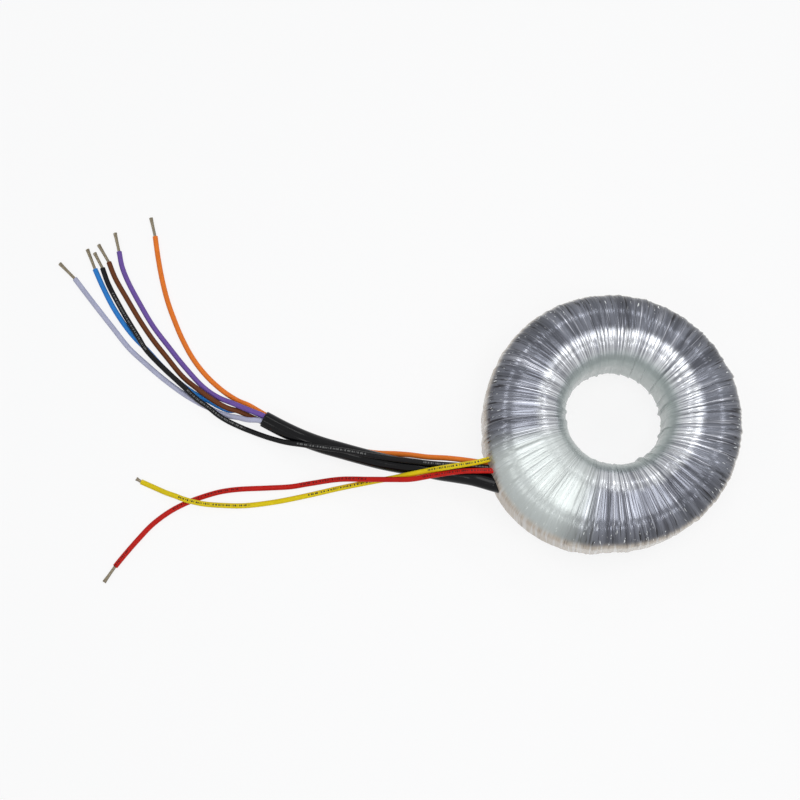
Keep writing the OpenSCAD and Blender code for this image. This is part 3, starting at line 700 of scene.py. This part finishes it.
wide, narrow, hair = streaked(15, 1.6), streaked(42, 2.6), streaked(110, 6)
shoulder = calc(tree, "MULTIPLY", ramp(tree, facing[0], 0.15, 0.75),
                ramp(tree, facing[1], 0.1, 0.5))
silver = mixed(tree, ramp(tree, wide, 0.38, 0.62), (0.085, 0.09, 0.108), (0.19, 0.20, 0.235))
# Painted shade: darker in the valleys of the folds, where the stored crease height is low.
silver = mixed(tree, ramp(tree, depth, 0.3, 0.06), silver, (0.05, 0.053, 0.065))
# Painted highlight: pale along the raised streaks that the bump also follows, less on the
# shoulder.
painted_highlight = calc(tree, "MULTIPLY", ramp(tree, narrow, 0.57, 0.72),
              calc(tree, "MULTIPLY_ADD", shoulder, -0.6, 1.0))
silver = mixed(tree, painted_highlight, silver, (0.46, 0.47, 0.52))
# Painted shade: darker between the raised streaks and along fine hair lines.
silver = mixed(tree, ramp(tree, narrow, 0.38, 0.27), silver, (0.10, 0.103, 0.125))
silver = mixed(tree, ramp(tree, hair, 0.38, 0.28), silver, (0.055, 0.058, 0.065))
# Painted highlight: near white on the slope into the hole, in the fold streaks.
inner_slope_highlight = calc(tree, "MULTIPLY", ramp(tree, facing[0], 0.03, -0.22),
                ramp(tree, facing[0], -0.97, -0.72))
inner_slope_highlight = calc(tree, "MULTIPLY", inner_slope_highlight, ramp(tree, narrow, 0.38, 0.62, 0.15, 0.75))
silver = mixed(tree, inner_slope_highlight, silver, (0.84, 0.86, 0.89))
# Painted shade: darker on the outer shoulder and wall, which face away from the light.
painted_outer_shade = calc(tree, "MULTIPLY", ramp(tree, facing[0], 0.40, 0.85), 0.42)
silver = mixed(tree, painted_outer_shade, silver, (0.085, 0.088, 0.098))
# Painted shade as short dark ticks in the shoulder's crumples, and painted highlights as small
# glints there.
shoulder_crease_shade, spark = streaked(62, 15), streaked(80, 34)
silver = mixed(tree, calc(tree, "MULTIPLY", ramp(tree, shoulder_crease_shade, 0.42, 0.34), shoulder),
               silver, (0.025, 0.025, 0.028))
glint = calc(tree, "MULTIPLY", ramp(tree, spark, 0.67, 0.71), shoulder)
silver = mixed(tree, glint, silver, (0.92, 0.94, 0.94))
# Painted shade: a dark line along each strip edge, darker where the edge stands out and on the
# shoulder.
dark_line = calc(tree, "MULTIPLY", edge, calc(tree, "MULTIPLY_ADD", shoulder, 1.2, 0.5))
dark_line = calc(tree, "MULTIPLY", dark_line, 1.0, clamp=True)
silver = mixed(tree, dark_line, silver, (0.03, 0.03, 0.035))
rim = calc(tree, "MULTIPLY", ramp(tree, facing[0], -0.55, -0.92), 0.9)
silver = mixed(tree, rim, silver, (0.54, 0.59, 0.57))
pale = mixed(tree, calc(tree, "MULTIPLY", facing[2], 0.72), silver, (0.62, 0.665, 0.64))
side = calc(tree, "MULTIPLY", ramp(tree, facing[0], 0.75, 0.98), ramp(tree, facing[1], 0.6, 0.2))
tan = mixed(tree, hair, (0.34, 0.26, 0.18), (0.68, 0.60, 0.50))
# Painted highlight as pale streaks and painted shade as dark streaks on the tan side wall, along
# the folds.
tan = mixed(tree, ramp(tree, narrow, 0.5, 0.62, 0.0, 0.6), tan, (0.72, 0.71, 0.69))
tan = mixed(tree, ramp(tree, narrow, 0.40, 0.32, 0.0, 0.7), tan, (0.16, 0.12, 0.09))
tree.links.new(mixed(tree, side, pale, tan), shader.inputs["Base Color"])
dull = calc(tree, "MAXIMUM", side, calc(tree, "MULTIPLY", facing[2], 0.45))
dull = calc(tree, "MAXIMUM", dull, rim)
tree.links.new(calc(tree, "MULTIPLY_ADD", dull, -0.65, 0.75), shader.inputs["Metallic"])
tree.links.new(calc(tree, "MULTIPLY_ADD", facing[2], 0.12, 0.2),
               shader.inputs["Roughness"])
raised(tree, shader, narrow, 0.0006, 0.5)
wrap = made_by(film_tree, "wound_film_wrap", film_paint, Turns=float(film_turns),
               Columns=film_columns, Rows=film_rows, Inner_Radius=section_inner,
               Outer_Radius=section_outer, Inner_Height=height_inner,
               Outer_Height=height_outer, Inner_Corner=corner_inner,
               Outer_Corner=corner_outer, Middle=coil_middle, Hole_Shift=hole_shift,
               Shift_Angle=shift_angle, Fold=fold_depth, Bulge=joints_bulge, Seed=3.0)
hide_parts("film_wrap")
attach(wrap, "root")

# ---------------------------------------------------------------- table and light
# A plain white table and soft light from all round, brightest at the sides.
table_mesh = bpy.data.meshes.new("table")
reach = 1.5
table_mesh.from_pydata([(-reach, -reach, 0), (reach, -reach, 0), (reach, reach, 0),
                        (-reach, reach, 0)], [], [(0, 1, 2, 3)])
table = bpy.data.objects.new("table", table_mesh)
bpy.context.scene.collection.objects.link(table)
table_paint, tree, shader = paint("white_table", (0.93, 0.93, 0.93), 0.6)
shader.inputs["Specular IOR Level"].default_value = 0.1
table_glow = 0.85
glow = put(tree, "ShaderNodeEmission", {"Color": (1, 1, 1, 1), "Strength": 1.0})


def seen(tree):
    """1 for what is seen straight, in a reflection or through glass, and 0 for light."""
    rays = put(tree, "ShaderNodeLightPath").outputs
    mirrored = calc(tree, "MAXIMUM", rays["Is Glossy Ray"], rays["Is Transmission Ray"])
    return calc(tree, "MAXIMUM", rays["Is Camera Ray"], mirrored)


blend = put(tree, "ShaderNodeMixShader",
            {0: calc(tree, "MULTIPLY", seen(tree), table_glow), 1: shader, 2: glow})
tree.links.new(blend.outputs[0], tree.nodes["Material Output"].inputs["Surface"])
table.data.materials.append(table_paint)

world = bpy.data.worlds.new("room")
world.use_nodes = True
bpy.context.scene.world = world
tree = world.node_tree
room = tree.nodes["Background"]
room.inputs["Color"].default_value = (0.80, 0.83, 0.88, 1)
room.inputs["Strength"].default_value = 0.45
beyond = put(tree, "ShaderNodeBackground", {"Color": (1, 1, 1, 1), "Strength": 1.0})
blend = put(tree, "ShaderNodeMixShader",
            {0: seen(tree), 1: room, 2: beyond})
tree.links.new(blend.outputs[0], tree.nodes["World Output"].inputs["Surface"])

lamps, lamp_distance, lamp_width, lamp_power = 6, 1.2, 0.26, 0.7
lamp_slope = math.radians(42)
for k in range(lamps):
    turn = math.tau * (k + 0.5) / lamps
    lamp = bpy.data.objects.new(f"softbox_{k + 1}", bpy.data.lights.new("softbox", "AREA"))
    lamp.data.shape = "DISK"
    lamp.data.size = lamp_width
    lamp.data.energy = lamp_power
    aim = Vector((math.cos(turn) * math.sin(lamp_slope),
                  math.sin(turn) * math.sin(lamp_slope), math.cos(lamp_slope)))
    lamp.location = aim * lamp_distance
    lamp.rotation_euler = aim.to_track_quat("Z", "Y").to_euler()
    bpy.context.scene.collection.objects.link(lamp)

key_width, key_power = 0.26, 0.55
key = bpy.data.objects.new("softbox_above", bpy.data.lights.new("softbox_above", "AREA"))
key.data.shape = "DISK"
key.data.size = key_width
key.data.energy = key_power
key.location = (0.0, -0.03, 0.45)
bpy.context.scene.collection.objects.link(key)

bpy.context.scene.view_settings.view_transform = "Standard"
